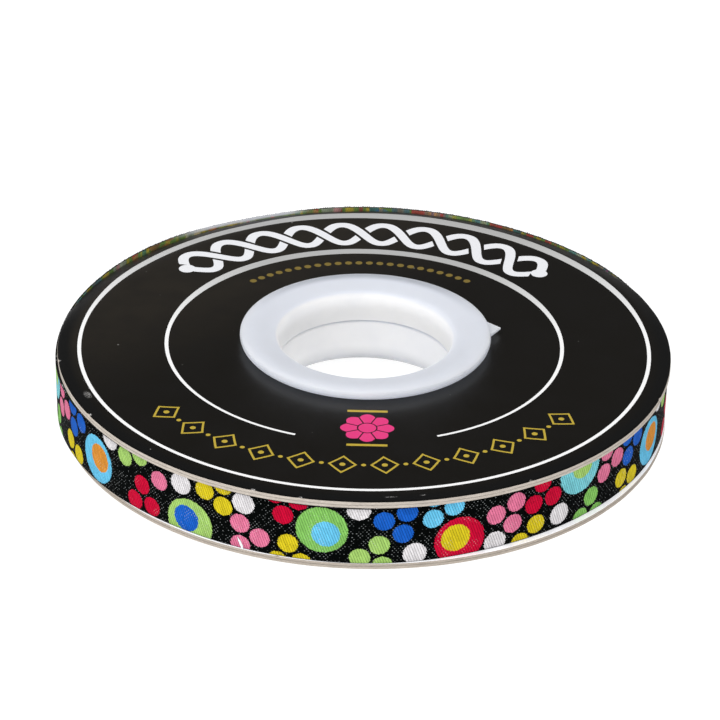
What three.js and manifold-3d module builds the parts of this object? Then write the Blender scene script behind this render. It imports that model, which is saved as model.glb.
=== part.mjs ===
// A roll of narrow jacquard ribbon, lying flat: the ribbon is wound between two round boards,
// and a two-part plastic core with rounded lips runs through the middle and holds the boards.
// Millimetres, +Z up. The origin is under the middle of the roll, on the surface it lies on.

import * as THREE from 'three';
import { mergeVertices } from 'three/addons/utils/BufferGeometryUtils.js';
import Module from 'manifold-3d';

const wasm = await Module();
wasm.setup();

// Boards: 5 1/4 inches across, cut from grey board.
const boardRadius = 66.675;
const boardThickness = 1.4;
const boardHoleRadius = 21.9;
const lowerBoardShift = 0.6; // the lower board sits a little to the right
const boardDroop = 0.9; // the back edge of the upper board is bent down by this
const droopFrom = 58; // radius where that bend begins
const droopMiddle = 62;
const droopSides = [0.3, 0.75]; // sines of the azimuths between which the bend fades in

// Ribbon: half an inch, nominal, wound into a flat roll.
const ribbonWidth = 12.4;
const ribbonBore = 21.9;
const packedRadius = 65.7; // the tight turns under the last one
const turnThickness = 0.9; // the last turn, with the air behind it
const cutEndWidth = 0.6; // degrees over which the outline steps back to the turn below

// Core: two lipped tubes, one pushed into the other.
const boreRadius = 18.9;
const lowerBoreRadius = 19.1;
const spigotRadius = 19.9;
const socketRadius = 20.2;
const tubeRadius = 21.3;
const upperLipHeight = 2.8; // above the upper board
const lowerLipDepth = 1.5; // below the lower board
const seamBelowFace = 5.4; // the seam in the bore, below the upper board's face
const lapHeight = 3.7; // how far the socket reaches past the seam
const coreShift = 0.2;

const clearance = 0.3;
const coreSegments = 48;
const boardSegments = 96;
const rollColumns = 120;

const lowerBoardBase = lowerLipDepth;
const rollBase = lowerBoardBase + boardThickness + clearance;
const rollTop = rollBase + ribbonWidth;
const upperBoardBase = rollTop + clearance;
const upperFace = upperBoardBase + boardThickness;
const seamHeight = upperFace - seamBelowFace;

// The last turn of ribbon, every 20 degrees from its cut end (azimuth from +X): its outer
// radius, and how far it has ridden up past the edge of the upper board. It is loose behind
// and snug in front.
const lastTurn = [
  { azimuth: 14, radius: 67.4, rise: 0 },
  { azimuth: 34, radius: 67.7, rise: 1.0 },
  { azimuth: 54, radius: 67.7, rise: 1.1 },
  { azimuth: 74, radius: 67.8, rise: 1.4 },
  { azimuth: 94, radius: 67.8, rise: 1.4 },
  { azimuth: 114, radius: 67.7, rise: 0.7 },
  { azimuth: 134, radius: 67.9, rise: 1.2 },
  { azimuth: 154, radius: 67.9, rise: 1.2 },
  { azimuth: 174, radius: 67.6, rise: 0.4 },
  { azimuth: 194, radius: 66.9, rise: 0 },
  { azimuth: 214, radius: 65.9, rise: 0 },
  { azimuth: 234, radius: 65.3, rise: 0 },
  { azimuth: 254, radius: 65.8, rise: 0 },
  { azimuth: 274, radius: 66.6, rise: 0 },
  { azimuth: 294, radius: 65.0, rise: 0 },
  { azimuth: 314, radius: 65.8, rise: 0 },
  { azimuth: 334, radius: 65.7, rise: 0 },
  { azimuth: 354, radius: 65.8, rise: 0 },
  { azimuth: 374, radius: 65.7, rise: 0 },
];

const cutEnd = lastTurn[0].azimuth;

const radians = THREE.MathUtils.degToRad;

// How far the back edge of the upper board, and the ribbon under it, is pressed down.
function droopAt(azimuth, radius) {
  const behind = THREE.MathUtils.smoothstep(Math.sin(radians(azimuth)), ...droopSides);
  const outward = THREE.MathUtils.smoothstep(radius, droopFrom, boardRadius);
  return boardDroop * behind * outward;
}

// The last turn at any azimuth from its cut end round to the same place again.
const turnCurve = new THREE.SplineCurve(
  lastTurn.map((row) => new THREE.Vector2(row.radius, row.rise)),
);

function lastTurnAt(azimuth) {
  const point = turnCurve.getPoint((azimuth - cutEnd) / 360);
  return { radius: point.x, rise: Math.max(0, point.y) };
}

// A closed ring: one section of (radius, height) points for each azimuth, listed anticlockwise.
function ringFromSections(azimuths, sectionAt) {
  const positions = [];
  const indices = [];
  const sections = azimuths.map((azimuth) => sectionAt(azimuth));
  const across = sections[0].length;
  azimuths.forEach((azimuth, column) => {
    for (const [radius, height] of sections[column]) {
      positions.push(radius * Math.cos(radians(azimuth)), radius * Math.sin(radians(azimuth)), height);
    }
  });
  for (let column = 0; column < azimuths.length; column += 1) {
    const next = (column + 1) % azimuths.length;
    for (let row = 0; row < across; row += 1) {
      const up = (row + 1) % across;
      const a = column * across + row;
      const b = next * across + row;
      const c = next * across + up;
      const d = column * across + up;
      indices.push(a, b, c, a, c, d);
    }
  }
  const geometry = new THREE.BufferGeometry();
  geometry.setAttribute('position', new THREE.Float32BufferAttribute(positions, 3));
  geometry.setIndex(indices);
  geometry.computeVertexNormals();
  return geometry;
}

// A lathed ring about +Z from a closed anticlockwise path of (radius, height).
function turned(path, segments, arcSteps) {
  const points = path.getPoints(arcSteps);
  const geometry = new THREE.LatheGeometry(points, segments);
  geometry.rotateX(Math.PI / 2);
  return geometry;
}

function evenAzimuths(count) {
  return Array.from({ length: count }, (_, column) => (column * 360) / count);
}

function upperBoard() {
  const bendRings = [droopFrom, droopMiddle, boardRadius];
  return ringFromSections(evenAzimuths(boardSegments), (azimuth) => {
    const under = bendRings.map((radius) => [radius, upperBoardBase - droopAt(azimuth, radius)]);
    const over = bendRings.map((radius) => [radius, upperFace - droopAt(azimuth, radius)]);
    return [[boardHoleRadius, upperBoardBase], ...under, ...over.reverse(), [boardHoleRadius, upperFace]];
  });
}

function lowerBoard() {
  const section = new THREE.Path();
  section.moveTo(boardHoleRadius + lowerBoardShift, 0);
  section.lineTo(boardRadius, 0);
  section.lineTo(boardRadius, boardThickness);
  section.lineTo(boardHoleRadius + lowerBoardShift, boardThickness);
  section.closePath();
  return turned(section, boardSegments, 1);
}

// The wound ribbon as one solid, with its last turn loose behind and its cut end as a step.
function woundRibbon() {
  const sweep = (360 - cutEndWidth) / (rollColumns - 1);
  const azimuths = Array.from({ length: rollColumns }, (_, column) => cutEnd + column * sweep);
  const foot = 0.05; // a slight batter on the two steps, so that neither is folded shut
  return ringFromSections(azimuths, (azimuth) => {
    const { radius, rise } = lastTurnAt(azimuth);
    const clearOfBoard = boardRadius + clearance;
    const shoulder = radius > clearOfBoard + clearance ? clearOfBoard : radius - turnThickness;
    const lowerStep = Math.min(packedRadius, radius - turnThickness);
    const topAt = (at) => rollTop - droopAt(azimuth, at);
    const flatTop = rollTop + rise;
    return [
      [ribbonBore, rollBase],
      [lowerStep - foot, rollBase],
      [lowerStep, rollBase + rise],
      [radius, rollBase + rise],
      [radius, flatTop],
      [shoulder, flatTop],
      [shoulder - foot, topAt(shoulder - foot)],
      [droopMiddle, topAt(droopMiddle)],
      [droopFrom, rollTop],
      [ribbonBore, rollTop],
    ];
  });
}

// Upper half: a broad lip that slopes gently in to the bore, and a spigot down to the seam.
function upperCoreRing() {
  const rimRadius = 1.25;
  const rimCentre = { radius: 26.1, height: upperFace + upperLipHeight - rimRadius };
  const rimStart = radians(-50);
  const crownRadius = 25.2;
  const slope = radians(10.5);
  const throatRadius = 1.6;
  const throat = { radius: boreRadius + throatRadius, height: upperFace + clearance };
  const section = new THREE.Path();
  section.moveTo(boreRadius, seamHeight);
  section.lineTo(spigotRadius, seamHeight);
  section.lineTo(spigotRadius, seamHeight + lapHeight);
  section.lineTo(tubeRadius, seamHeight + lapHeight);
  section.lineTo(tubeRadius, upperFace + clearance);
  section.lineTo(rimCentre.radius - clearance, upperFace + clearance);
  section.absarc(rimCentre.radius, rimCentre.height, rimRadius, rimStart, Math.PI / 2, false);
  section.lineTo(crownRadius, upperFace + upperLipHeight);
  section.absarc(throat.radius, throat.height, throatRadius, Math.PI / 2 + slope, Math.PI, false);
  section.lineTo(boreRadius, seamHeight);
  return turned(section, coreSegments, 6);
}

// Lower half: a thinner lip with a flat ring to stand on, and a socket round the spigot.
function lowerCoreRing() {
  const lipThickness = lowerLipDepth - clearance;
  const rimRadius = lipThickness / 2;
  const rimCentre = { radius: 26.4, height: rimRadius };
  const flatRingRadius = 24.6;
  const throatRadius = 2.5;
  const throat = { radius: lowerBoreRadius + throatRadius, height: 4.19 };
  const slope = radians(25.5);
  const section = new THREE.Path();
  section.moveTo(flatRingRadius, 0);
  section.lineTo(rimCentre.radius, 0);
  section.absarc(rimCentre.radius, rimCentre.height, rimRadius, -Math.PI / 2, Math.PI / 2, false);
  section.lineTo(tubeRadius, lipThickness);
  section.lineTo(tubeRadius, seamHeight + lapHeight - clearance);
  section.lineTo(socketRadius, seamHeight + lapHeight - clearance);
  section.lineTo(socketRadius, seamHeight - clearance);
  section.lineTo(lowerBoreRadius, seamHeight - clearance);
  section.absarc(throat.radius, throat.height, throatRadius, Math.PI, 1.5 * Math.PI - slope, false);
  section.lineTo(flatRingRadius, 0);
  return turned(section, coreSegments, 6);
}

// The moulding tab left on the right of the upper lip: a thin pointed flake.
function mouldingTab() {
  const tip = { radius: 30, azimuth: radians(9) };
  const root = { radius: 26.4, from: radians(0), to: radians(18) };
  const thickness = 0.6;
  const height = 1;
  const outline = new THREE.Shape([
    new THREE.Vector2(root.radius * Math.cos(root.from), root.radius * Math.sin(root.from)),
    new THREE.Vector2(tip.radius * Math.cos(tip.azimuth), tip.radius * Math.sin(tip.azimuth)),
    new THREE.Vector2(root.radius * Math.cos(root.to), root.radius * Math.sin(root.to)),
  ]);
  const tab = new THREE.ExtrudeGeometry(outline, { depth: thickness, bevelEnabled: false });
  tab.translate(0, 0, upperFace + height);
  return tab;
}

// A solid for joining, from any closed geometry.
function toSolid(geometry) {
  const bare = geometry.clone();
  bare.deleteAttribute('normal');
  bare.deleteAttribute('uv');
  const merged = mergeVertices(bare, 1e-4);
  return new wasm.Manifold(new wasm.Mesh({
    numProp: 3,
    vertProperties: new Float32Array(merged.attributes.position.array),
    triVerts: new Uint32Array(merged.index.array),
  }));
}

function toGeometry(solid) {
  const mesh = solid.getMesh();
  const geometry = new THREE.BufferGeometry();
  geometry.setAttribute('position', new THREE.Float32BufferAttribute(mesh.vertProperties, 3));
  geometry.setIndex(Array.from(mesh.triVerts));
  geometry.computeVertexNormals();
  return geometry;
}

function upperCore() {
  return toGeometry(toSolid(upperCoreRing()).add(toSolid(mouldingTab())));
}

const finishes = {
  bareBoard: { color: 0xc8beb2, roughness: 0.85 },
  printedBoard: { color: 0x1c1814, roughness: 0.4 },
  weave: { color: 0x16181c, roughness: 0.8 },
  milkyPlastic: { color: 0xe8eaf0, roughness: 0.35 },
};

function piece(name, geometry, finish) {
  const material = new THREE.MeshStandardMaterial({ ...finish, metalness: 0 });
  const mesh = new THREE.Mesh(geometry, material);
  mesh.name = name;
  return mesh;
}

const roll = new THREE.Group();

const lowerBoardMesh = piece('lower_board', lowerBoard(), finishes.bareBoard);
lowerBoardMesh.position.set(lowerBoardShift, 0, lowerBoardBase);

const core = new THREE.Group();
core.position.x = coreShift;
core.add(piece('core_lower', lowerCoreRing(), finishes.milkyPlastic));
core.add(piece('core_upper', upperCore(), finishes.milkyPlastic));

roll.add(lowerBoardMesh);
roll.add(piece('ribbon_roll', woundRibbon(), finishes.weave));
roll.add(piece('upper_board', upperBoard(), finishes.printedBoard));
roll.add(core);

export default roll;
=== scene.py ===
import math

import bpy
from mathutils import Matrix, Vector, noise


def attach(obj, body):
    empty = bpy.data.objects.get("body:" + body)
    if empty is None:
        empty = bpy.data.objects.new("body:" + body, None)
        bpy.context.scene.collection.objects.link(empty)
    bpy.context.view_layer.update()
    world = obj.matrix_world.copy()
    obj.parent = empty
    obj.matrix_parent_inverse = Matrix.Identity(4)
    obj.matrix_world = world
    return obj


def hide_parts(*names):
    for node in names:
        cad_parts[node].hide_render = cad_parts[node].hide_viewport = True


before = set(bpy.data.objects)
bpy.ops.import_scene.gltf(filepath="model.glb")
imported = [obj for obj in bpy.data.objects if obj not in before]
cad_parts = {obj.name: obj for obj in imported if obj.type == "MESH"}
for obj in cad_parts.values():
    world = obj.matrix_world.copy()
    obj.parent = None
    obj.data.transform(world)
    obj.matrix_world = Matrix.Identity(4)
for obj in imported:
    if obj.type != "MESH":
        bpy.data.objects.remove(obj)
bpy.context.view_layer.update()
scene = bpy.context.scene
mm = 0.001

# heights in the CAD model
levels = {
    "rollBase": 2.7,
    "rollTop": 15.5,
    "upperFace": 17.3,
    "seam": 11.9,
}


def smooth(value, low, high):
    t = min(1.0, max(0.0, (value - low) / (high - low)))
    return t * t * (3 - 2 * t)


def tint(red, green, blue):
    # screen colour, 0 to 255, as a linear colour
    def linear(c):
        c /= 255
        return c / 12.92 if c <= 0.04045 else ((c + 0.055) / 1.055) ** 2.4
    return (linear(red), linear(green), linear(blue), 1.0)


def tones(**colours):
    return {name: tint(*colour) for name, colour in colours.items()}


def polar(azimuth, radius, height):
    a = math.radians(azimuth)
    return Vector((radius * math.cos(a), radius * math.sin(a), height))


class Signal:
    # a node's output; arithmetic on it adds Math nodes, and | takes the larger
    def __init__(self, wires, socket):
        self.wires, self.socket = wires, socket

    def __abs__(self):
        return self.wires.calc("ABSOLUTE", self)


def mathMethod(operation, swapped=False):
    def method(self, other):
        pair = (other, self) if swapped else (self, other)
        return self.wires.calc(operation, *pair)
    return method


for sign, operation in {"add": "ADD", "sub": "SUBTRACT", "mul": "MULTIPLY", "truediv": "DIVIDE",
        "mod": "MODULO", "or": "MAXIMUM"}.items():
    setattr(Signal, f"__{sign}__", mathMethod(operation))
    setattr(Signal, f"__r{sign}__", mathMethod(operation, swapped=True))
Signal.__lt__ = mathMethod("LESS_THAN")
Signal.__gt__ = mathMethod("GREATER_THAN")


class Wires:
    def __init__(self, tree, owner=None, last=None):
        self.tree, self.owner, self.last = tree, owner, last

    def finish(self, values):
        self.fill(self.last, values)
        return self.owner

    def fill(self, sockets, values):
        for key, value in values.items():
            if isinstance(value, Signal):
                self.tree.links.new(value.socket, sockets[key])
            else:
                sockets[key].default_value = value

    def add(self, kind, inputs=None, **settings):
        # a shader node, unless its kind says otherwise
        node = self.tree.nodes.new(kind if "Node" in kind else f"ShaderNode{kind}")
        for name, value in settings.items():
            setattr(node, name, value)
        self.fill(node.inputs, inputs or {})
        return node

    def read(self, kind, inputs=None, output=0, **settings):
        return Signal(self, self.add(kind, inputs, **settings).outputs[output])

    def geometry(self, kind, inputs, output=0, **settings):
        return self.read(f"GeometryNode{kind}", inputs, output, **settings)

    def named(self, node, *names):
        return [Signal(self, node.outputs[name]) for name in names]

    def calc(self, operation, *values):
        return self.read("Math", dict(enumerate(values)), operation=operation)

    def vector(self, operation, *values, output=0):
        return self.read("VectorMath", dict(enumerate(values)), output, operation=operation)

    def scaled(self, vector, factor):
        return self.read("VectorMath", {"Vector": vector, "Scale": factor}, operation="SCALE")

    def reach(self, x, y):
        return self.vector("LENGTH", self.join(x, y), output=1)

    def distance(self, first, second):
        return self.vector("DISTANCE", first, second, output=1)

    def blend(self, factor, first, second):
        return self.read("Mix", {0: factor, 6: first, 7: second}, 2, data_type="RGBA")

    def layers(self, colour, *coats):
        # coats are (share, colour)
        for share, coat in coats:
            colour = self.blend(share, colour, coat)
        return colour

    def ramp(self, value, low, high, start=0.0, end=1.0, kind="SMOOTHSTEP"):
        return self.read("MapRange", dict(enumerate((value, low, high, start, end))),
            interpolation_type=kind)

    def line(self, value, low, high, start=0.0, end=1.0):
        return self.ramp(value, low, high, start, end, "LINEAR")

    def join(self, x, y, z=0.0):
        return self.read("CombineXYZ", {0: x, 1: y, 2: z})

    def split(self, value):
        outputs = self.add("SeparateXYZ", {0: value}).outputs
        return [Signal(self, socket) for socket in outputs]

    def noise(self, place, scale, detail, roughness=0.5):
        return self.read("TexNoise", {"Vector": place, "Scale": scale, "Detail": detail,
            "Roughness": roughness})

    def streaks(self, detail, x, y, z=0.0):
        return self.noise(self.join(x, y, z), 1.0, detail)

    def chance(self, x, y):
        return self.read("TexWhiteNoise", {"Vector": self.join(x, y)}, "Value", noise_dimensions="2D")

    def group(self, tree, **inputs):
        outputs = self.add("Group", inputs, node_tree=tree).outputs
        return {socket.name: Signal(self, socket) for socket in outputs}

    def place(self):
        # Object coordinates in millimetres
        return self.scaled(self.read("TexCoord", output="Object"), 1 / mm)

    def map(self, name):
        return self.split(self.read("UVMap", uv_map=name))[:2]

    def bump(self, height, strength, distance):
        return self.read("Bump", {"Strength": strength, "Distance": distance * mm, "Height": height})


socketTypes = {float: "Float", int: "Int", bpy.types.Material: "Material"}


def newTree(kind, name, inputs, outputs):
    # each socket is given by its type or its value; values are kept by the socket's identifier
    tree = bpy.data.node_groups.new(name, kind)
    values = {}
    for direction, sockets in (("OUTPUT", outputs), ("INPUT", inputs)):
        for label, value in sockets.items():
            typed = isinstance(value, str)
            socketType = value if typed else socketTypes[type(value)]
            socket = tree.interface.new_socket(label, in_out=direction,
                socket_type=f"NodeSocket{socketType}")
            if not typed:
                socket.default_value = values[socket.identifier] = value
    wires = Wires(tree, tree, tree.nodes.new("NodeGroupOutput").inputs)
    given = {socket.name: Signal(wires, socket) for socket in tree.nodes.new("NodeGroupInput").outputs}
    return wires, given, values


def newGroup(name, inputs, outputs):
    return newTree("ShaderNodeTree", name, inputs, outputs)[:2]


def newMaterial(name):
    material = bpy.data.materials.new(name)
    material.use_nodes = True
    tree = material.node_tree
    return Wires(tree, material, tree.nodes["Principled BSDF"].inputs)


# effects that several materials share

def makePolarPlace():
    # radius in mm and azimuth in degrees
    w, given = newGroup("polarPlace", {}, {"Radius": "Float", "Azimuth": "Float"})
    x, y, z = w.split(w.place())
    return w.finish({"Radius": w.calc("SQRT", x * x + y * y),
        "Azimuth": w.calc("DEGREES", w.calc("ARCTAN2", y, x))})


def makeDust():
    # sparse pale specks of lint, 0 to 1
    w, given = newGroup("dustSpecks", {"Place": "Vector", "Spacing": 3.0, "Size": 0.1, "Share": 0.3},
        {"Mask": "Float"})
    scaled = w.scaled(given["Place"], 1.0 / given["Spacing"])
    cells = w.add("TexVoronoi", {"Vector": scaled, "Scale": 1.0, "Randomness": 1.0})
    chance, distance = w.named(cells, "Color", "Distance")
    share, size, rest = w.split(chance)
    near = distance < given["Size"] / given["Spacing"] * size
    return w.finish({"Mask": near * (share < given["Share"])})


def makeTwist():
    # two strands that cross over and under along a circle
    w, given = newGroup("twistedStrands", {"Radius": 50.0, "Azimuth": 0.0, "Middle": 52.0, "Swing": 4.6,
        "Stroke": 2.3, "From": 0.0, "To": 90.0, "Loops": 10.0}, {"Mask": "Float"})
    along = given["Azimuth"] - given["From"]
    sweep = given["To"] - given["From"]
    perDegree = given["Loops"] * math.pi / sweep
    phase = along * perDegree
    cosine = w.calc("COSINE", phase)
    off = given["Radius"] - given["Middle"]
    wave = w.calc("SINE", phase) * given["Swing"]
    # millimetres of radius per millimetre of arc
    slope = cosine * given["Swing"] * w.calc("DEGREES", perDegree) / given["Middle"]
    steep = w.calc("SQRT", slope * slope + 1.0)
    first, second = abs(off - wave) / steep, abs(off + wave) / steep
    half, gap = given["Stroke"] * 0.5, given["Stroke"] * 0.85
    firstOver = cosine > 0.0
    firstSeen = (first < half) * (firstOver | (second > gap))
    secondSeen = (second < half) * ((1.0 - firstOver) | (first > gap))
    return w.finish({"Mask": (firstSeen | secondSeen) * ((along > 0.0) * (along < sweep))})


def makeCutEdge():
    # two plies with a darker glue line and stretched fibres
    w, given = newGroup("cutBoardEdge", {"Arc": 0.0, "Height": 0.0, "Thickness": 1.4, "Tone": "Color"},
        {"Colour": "Color", "Relief": "Float"})
    arc, height = given["Arc"], given["Height"]
    fibres = w.streaks(3, arc * 1.3, height * 7.0)
    coarse = w.streaks(2, arc * 0.25, height * 3.0, 4.0)
    drift = w.streaks(1, arc * 0.06, 2.0)
    middle = 0.5 + (drift - 0.5) * 0.25
    glue = w.ramp(abs(height / given["Thickness"] - middle), 0.02, 0.12, 1.0, 0.0)
    light = 1.0 + ((fibres - 0.5) * 0.75 + (coarse - 0.5) * 0.60) - glue * 0.36
    return w.finish({"Colour": w.scaled(given["Tone"], light), "Relief": fibres * 0.7 + coarse * 0.5})


polarPlace = makePolarPlace()
dustSpecks = makeDust()
twistedStrands = makeTwist()
cutBoardEdge = makeCutEdge()
print("shared effects ready")


# meshes

def ringMesh(name, columns, sectionAt, faceSlots=None, arcPerDegree=1.0):
    # a closed ring of sections of (radius, height, mapHeight), anticlockwise
    faces, maps = [], []
    sections = [sectionAt(column * 360 / columns) for column in range(columns)]
    vertices = [polar(column * 360 / columns, radius, height) * mm
                for column, section in enumerate(sections) for radius, height, mapHeight in section]
    across = len(sections[0])
    for column, section in enumerate(sections):
        after = (column + 1) % columns
        left, right = (edge * 360 / columns * arcPerDegree for edge in (column, column + 1))
        for row in range(across):
            up = (row + 1) % across
            faces.append((column * across + row, after * across + row, after * across + up,
                column * across + up))
            low, high = section[row][2], section[up][2]
            maps += [left, low, right, low, right, high, left, high]
    mesh = bpy.data.meshes.new(name)
    mesh.from_pydata(vertices, [], faces)
    mesh.uv_layers.new(name="edgeMap").data.foreach_set("uv", maps)
    mesh.polygons.foreach_set("material_index", (faceSlots or [0] * across) * columns)
    mesh.update()
    return mesh


def loftMesh(name, rings):
    # a closed skin over rings of points in mm, one above the other
    count, last = len(rings[0]), len(rings) - 1
    faces = [tuple(reversed(range(count))), tuple(range(last * count, (last + 1) * count))]
    for ring in range(last):
        low, high = ring * count, (ring + 1) * count
        for index in range(count):
            after = (index + 1) % count
            faces.append((low + index, low + after, high + after, high + index))
    mesh = bpy.data.meshes.new(name)
    mesh.from_pydata([point * mm for ring in rings for point in ring], [], faces)
    mesh.update()
    return mesh


def newObject(name, data):
    made = bpy.data.objects.new(name, data)
    scene.collection.objects.link(made)
    return made


def placeMesh(name, mesh, materials, creaseAngle=30):
    for material in materials:
        mesh.materials.append(material)
    mesh.shade_smooth()
    mesh.set_sharp_from_angle(angle=math.radians(creaseAngle))
    return newObject(name, mesh)


# the boards

boards = {
    "radius": 66.675,
    "thickness": 1.4,
    "columns": 540,
    "edgeRounding": 0.12,
    "raggedness": 0.045,
    "waviness": 0.03,
    "faceRadii": [40.0, 56.0, 58.0, 59.5, 61.0, 62.5, 64.0, 65.2, 65.9],
    # the cut side's uneven profile: how far past the rim, and height
    "sideRows": [(0.0, 0.08), (0.02, 0.45), (-0.03, 0.7), (0.02, 0.95)],
    # the nicks are azimuth, width and depth
    "upper": {"radius": 66.675, "base": 15.9, "thickness": 1.4, "holeRadius": 21.9, "bends": True,
              "seed": 1.0, "shift": 0.0,
              "nicks": [(-170.0, 0.5, 0.28), (-148.6, 0.6, 0.30), (-108.9, 0.7, 0.34),
                        (-100.4, 0.5, 0.26), (-59.1, 0.5, 0.24), (-20.0, 0.4, 0.2),
                        (47.0, 0.6, 0.25), (133.0, 0.5, 0.22)]},
    "lower": {"radius": 66.3, "base": 1.3, "thickness": 1.3, "holeRadius": 22.5, "bends": False,
              "seed": 7.0, "shift": 0.15,
              "nicks": [(-104.5, 0.6, 0.3), (75.0, 0.6, 0.25), (160.0, 0.5, 0.22)]},
}

# how far the upper board's rim is bent down, and from which radius, every 20 degrees
droops = [(0.0, 61.0), (0.3, 60.5), (0.95, 59.5), (0.95, 60.0), (1.1, 62.2), (1.4, 61.2),
          (1.75, 57.5), (1.9, 57.5), (1.4, 59.0), (0.45, 61.0)] + [(0.0, 61.0)] * 8

# the lighter ink and rim tones behind are painted reflection
boardTones = tones(
    edge=(186, 177, 167), lowerEdge=(172, 162, 151), ink=(12, 8, 2), inkBehind=(37, 32, 24),
    inkCloud=(20, 17, 14), inkAtRim=(5, 5, 5), rimBehind=(42, 40, 37), ringFront=(255, 255, 255),
    ringBack=(188, 188, 187), white=(243, 244, 248), gold=(196, 170, 52), dullGold=(132, 112, 46),
    pink=(236, 52, 130), dust=(190, 188, 184), scuff=(214, 212, 210), liner=(240, 240, 243),
    underside=(216, 211, 203), paperCloud=(180, 172, 160), paperSpeck=(120, 110, 98),
)

# the printed face; rings are (radius, width in front, at the sides, behind)
prints = {
    "outerRing": (61.97, 0.80, 0.82, 3.05),
    "innerRing": (43.1, 0.62, 0.82, 2.35),
    "innerGap": (-108.7, -69.0),
    "twist": {"Middle": 52.1, "Swing": 4.7, "Stroke": 2.3, "From": 40.5, "To": 141.5, "Loops": 10.0},
    "twistEnd": 1.9,
    "lozenges": {"middle": 52.4, "from": -146.0, "to": -28.0, "pitch": 8.6, "long": 2.7, "high": 3.1,
                 "line": 0.46, "dot": 0.62, "dotBetween": 0.5},
    "beads": {"middle": 37.2, "from": 50.0, "to": 138.0, "pitch": 2.4, "radius": 0.8},
    "rosette": {"radius": 37.6, "azimuth": -88.5, "petal": 5.6, "waist": 0.80, "eye": 2.0,
                "eyeLine": 0.14, "petalLine": 0.55, "barAway": 6.9, "barHalf": (4.2, 0.42)},
    # azimuth, radius, half length, half width and strength
    "scuffs": [(-155.6, 63.6, 1.9, 0.9, 0.45), (-157.9, 62.3, 0.7, 0.4, 0.4),
               (-84.7, 64.7, 1.5, 0.17, 0.75), (-79.0, 64.6, 0.75, 0.2, 0.5),
               (-170.0, 66.35, 0.5, 0.35, 0.9), (-148.6, 66.3, 0.55, 0.4, 0.9),
               (-108.9, 66.3, 0.6, 0.3, 0.9), (-100.4, 66.35, 0.5, 0.3, 0.8),
               (-59.1, 66.35, 0.5, 0.25, 0.7)],
}


def droopAt(azimuth, radius):
    at = (azimuth % 360) / 20
    index = int(at) % len(droops)
    t = smooth(at - int(at), 0.0, 1.0)
    (depth, start), (nextDepth, nextStart) = droops[index], droops[(index + 1) % len(droops)]
    depth += (nextDepth - depth) * t
    start += (nextStart - start) * t
    return depth * max(0.0, (radius - start) / (boards["radius"] - start)) ** 2


def raggedAt(azimuth, seed):
    # uneven cut of the board's rim, in mm
    spot = polar(azimuth, 9.0, seed)
    return boards["raggedness"] * (noise.noise(spot) + 0.6 * noise.noise(spot * 4))


def nickAt(azimuth, nicks):
    depth = 0.0
    for middle, width, deep in nicks:
        off = (azimuth - middle + 180) % 360 - 180
        arc = abs(math.radians(off) * boards["radius"])
        depth = max(depth, deep * max(0.0, 1 - arc / width))
    return depth


def boardSection(azimuth, board):
    # bottom face outward, up the cut side, then the top face back in
    top = board["thickness"]
    soft = boards["edgeRounding"]
    rim = board["radius"] + raggedAt(azimuth, board["seed"])
    nick = nickAt(azimuth, board["nicks"])
    lift = boards["waviness"] * noise.noise(polar(azimuth, 6.0, board["seed"] + 3))
    inner = [board["holeRadius"]] + boards["faceRadii"]
    rows = [(r, 0.0, 0.0) for r in inner] + [(rim - 0.08, 0.0, 0.0)]
    rows += [(rim + past, height, height) for past, height in boards["sideRows"]]
    rows += [(rim - nick * 0.4, top - soft - nick * 0.5, top - soft),
             (rim - soft * 0.3 - nick, top - soft * 0.3 + lift, top - 0.03),
             (rim - soft - nick, top + lift, top)]
    rows += [(r, top, top + 1) for r in reversed(inner)]
    return [(r, board["base"] + height - (droopAt(azimuth, r) if board["bends"] else 0.0), mapHeight)
            for r, height, mapHeight in rows]


def ringMask(w, radius, sine, ring):
    middle, front, aside, behind = ring
    wide = w.ramp(sine, -0.9, 0.0, front, aside) + w.ramp(sine, 0.05, 0.95, 0.0, behind - aside)
    return abs(radius - middle) < wide * 0.5


def ringCells(w, radius, azimuth, row):
    # equal cells along part of a circle
    step = math.degrees(row["pitch"] / row["middle"])
    turn = (azimuth - row["from"]) / step
    off = (w.calc("FRACT", turn) - 0.5) * row["pitch"]
    count = math.floor((row["to"] - row["from"]) / step)
    return off, radius - row["middle"], (turn > 0.1) * (turn < count - 0.1)


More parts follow.
